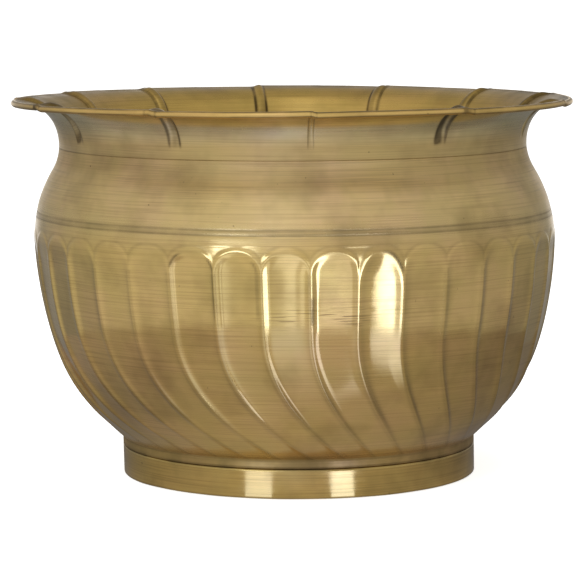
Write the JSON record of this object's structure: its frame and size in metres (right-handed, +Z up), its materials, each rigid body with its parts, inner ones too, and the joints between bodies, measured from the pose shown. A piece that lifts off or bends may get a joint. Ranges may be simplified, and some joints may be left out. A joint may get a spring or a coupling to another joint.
{
  "type": "planter pot",
  "caption": "Round brushed-brass planter pot with a fluted belly, narrowed neck, crimped flaring lip and plain ring foot.",
  "frame": {"origin": "centre of the underside of the foot ring, in the plane that the pot stands on", "axes": "+Z up along the pot's axis; -Y towards the front; +X to the right seen from the front"},
  "size_m": [0.254, 0.254, 0.1713],
  "materials": {
    "brushed_brass": "satin, turned and brushed round the axis",
    "iron_wire": "drawn wire",
    "braze": "dull, as flowed"
  },
  "bodies": {
    "root": {"bowl": "brushed_brass", "mouth_collar": "brushed_brass", "rim_wire": "iron_wire", "foot_ring": "brushed_brass", "neck_braze": "braze", "foot_braze": "braze"}
  },
  "joints": []
}
